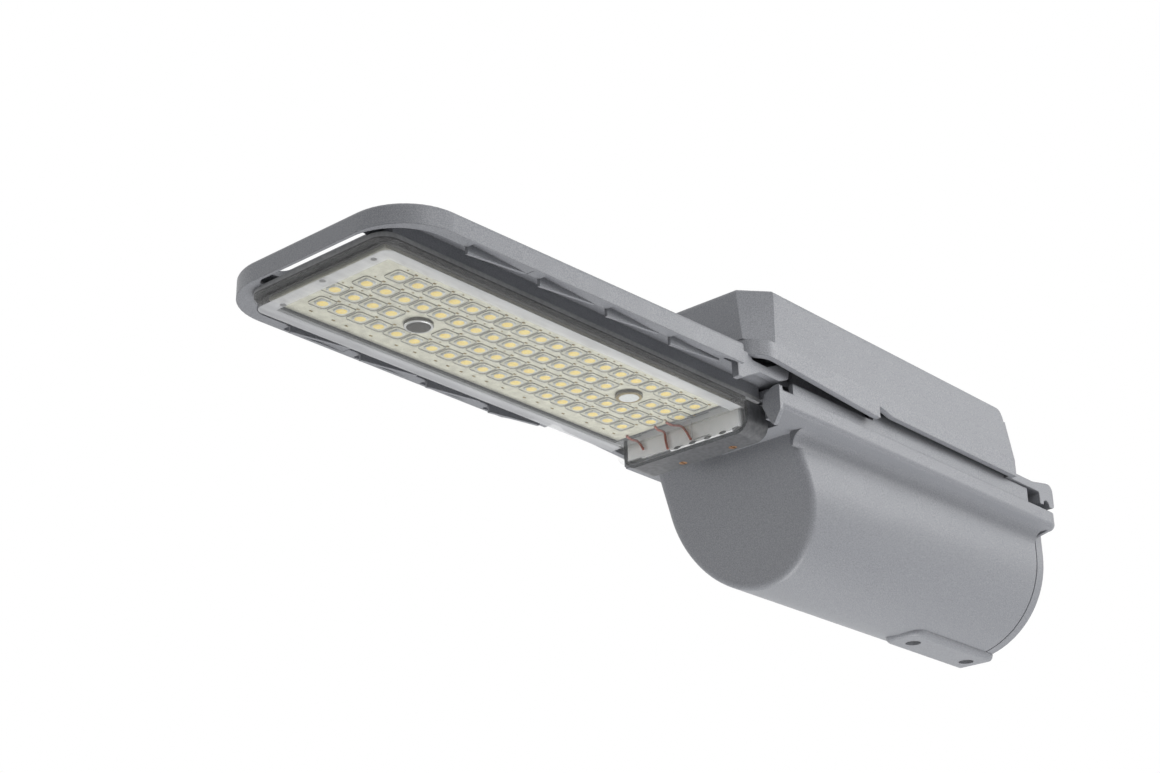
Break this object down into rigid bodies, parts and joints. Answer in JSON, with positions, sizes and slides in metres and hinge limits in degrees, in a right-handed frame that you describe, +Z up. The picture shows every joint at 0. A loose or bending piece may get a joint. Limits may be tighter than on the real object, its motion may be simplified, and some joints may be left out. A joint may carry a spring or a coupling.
{
  "type": "led street light head",
  "caption": "LED street light head: thin panel with a clear lens tray, hinged hood and a lower casting with a pole socket and clamp pad",
  "frame": {"origin": "centre of the pole socket's mouth, on the socket's axis", "axes": "+X out of the socket towards the pole, +Z up, +Y across to the side away from the latch"},
  "size_m": [0.484, 0.127, 0.1171],
  "materials": {
    "housing_paint": "satin light-grey powder coat on die-cast aluminium",
    "stainless": "plain stainless steel",
    "seal_rubber": "black silicone rubber",
    "tray_steel": "zinc-plated sheet steel",
    "zinc_screws": "zinc-plated screws",
    "white_plastic": "white nylon",
    "blue_plastic": "blue housing",
    "plate_aluminium": "plain aluminium sheet",
    "board": "pale solder mask",
    "led_phosphor": "yellow phosphor",
    "clear_lens": "clear moulded polycarbonate",
    "grey_cap": "grey moulded plastic",
    "brass_screws": "brass",
    "red_leads": "red-brown insulation",
    "driver_case": "light case"
  },
  "bodies": {
    "lower_part": {"lower_housing": "housing_paint", "clamp_screws": "stainless", "hinge_pins": "stainless", "compartment_gasket": "seal_rubber", "gear_tray": "tray_steel", "tray_screws": "zinc_screws", "terminal_block": "white_plastic", "terminal_screws": "zinc_screws", "surge_protector": "blue_plastic", "cable_grommet": "seal_rubber"},
    "upper_part": {"upper_housing": "housing_paint", "module_plate": "plate_aluminium", "lens_gasket": "seal_rubber", "led_board": "board", "led_chips": "led_phosphor", "lens_array": "clear_lens", "lens_cover": "clear_lens", "lens_screws": "stainless", "end_cap": "grey_cap", "cap_screws": "brass_screws", "terminal_covers": "white_plastic", "lead_comb": "grey_cap", "module_leads": "red_leads", "led_driver": "driver_case", "driver_bracket": "plate_aluminium", "driver_screws": "zinc_screws"}
  },
  "joints": [
    {"name": "hood_hinge", "type": "hinge", "parent": "lower_part", "child": "upper_part", "pos_m": [-0.0095, 0, 0.0375], "axis": [0, 1, 0], "range_deg": [0, 75]}
  ]
}
